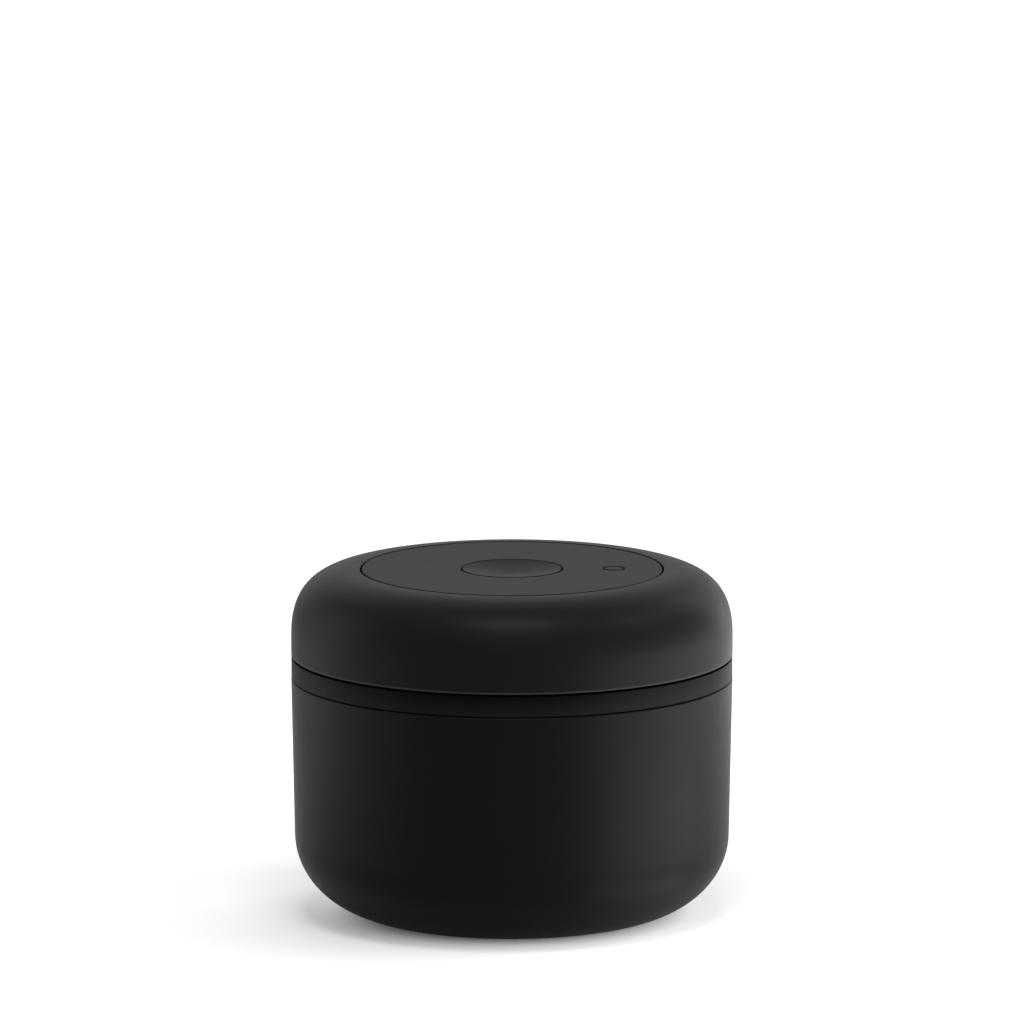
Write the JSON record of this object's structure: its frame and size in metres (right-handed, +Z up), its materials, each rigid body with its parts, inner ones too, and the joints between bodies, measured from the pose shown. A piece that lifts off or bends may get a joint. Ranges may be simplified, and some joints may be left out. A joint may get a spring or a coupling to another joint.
{
  "type": "vacuum coffee canister",
  "caption": "Low round black metal canister for coffee, with a lift-off lid whose dome twists to pump the air out, a vacuum release button and a drop-pin vacuum indicator.",
  "frame": {"origin": "centre of the foot, on the surface that the canister stands on", "axes": "+Z up along the canister's axis; +X from the axis towards the vacuum indicator; -Y is the picture's front"},
  "size_m": [0.1178, 0.1178, 0.0931],
  "materials": {
    "vessel_coat": "matt black powder coat outside, bare brushed steel inside",
    "lid_black": "soft matt black, very fine texture",
    "collar_black": "dull deep black, finely eroded",
    "inner_black": "plain moulded black",
    "acetal_white": "natural acetal, slightly waxy",
    "silicone_grey": "soft grey silicone",
    "steel": "bright steel wire and screws",
    "filter_steel": "woven fine steel mesh",
    "signal_green": "glossy green"
  },
  "bodies": {
    "canister": {"canister_shell": "vessel_coat"},
    "dome": {"dome_shell": "lid_black", "cam_sleeve": "acetal_white", "dome_screws": "steel"},
    "piston": {"pump_piston": "acetal_white", "piston_seal": "silicone_grey", "hub_seal_ring": "silicone_grey", "exhaust_valve": "silicone_grey", "cam_pins": "steel"},
    "release": {"release_button": "lid_black", "release_stem": "acetal_white", "release_seal": "silicone_grey"},
    "indicator": {"indicator_rod": "acetal_white", "indicator_cap": "lid_black"},
    "lid": {"lid_base": "inner_black", "collar_ring": "collar_black", "lid_gasket": "silicone_grey", "pump_cylinder": "inner_black", "cylinder_seal_ring": "silicone_grey", "cylinder_screws": "steel", "glide_washer": "acetal_white", "inlet_valve": "silicone_grey", "filter_mesh": "filter_steel", "filter_cover": "inner_black", "top_carrier": "inner_black", "carrier_screws": "steel", "top_disc": "lid_black", "indicator_tube": "inner_black", "indicator_sleeve": "signal_green", "indicator_spring": "steel", "indicator_diaphragm": "silicone_grey", "button_spring": "steel"}
  },
  "joints": [
    {"name": "lid_lift", "type": "slide", "parent": "canister", "child": "lid", "axis": [0, 0, 1], "range_m": [0, 0.07]},
    {"name": "dome_twist", "type": "hinge", "parent": "lid", "child": "dome", "pos_m": [0, 0, 0.07], "axis": [0, 0, 1], "range_deg": [0, 75]},
    {"name": "piston_stroke", "type": "slide", "parent": "lid", "child": "piston", "axis": [0, 0, 1], "range_m": [0, 0.008]},
    {"name": "button_press", "type": "slide", "parent": "lid", "child": "release", "axis": [0, 0, -1], "range_m": [0, 0.002], "stiffness_N_per_m": 600, "springref_m": -0.005, "deforming": ["button_spring"]},
    {"name": "indicator_drop", "type": "slide", "parent": "lid", "child": "indicator", "axis": [0, 0, -1], "range_m": [0, 0.0025], "stiffness_N_per_m": 40, "springref_m": -0.004, "deforming": ["indicator_spring", "indicator_diaphragm"]}
  ],
  "couplings": [
    {"joint": "piston_stroke", "follows": "dome_twist", "m_per_rad": 0.0061115}
  ]
}
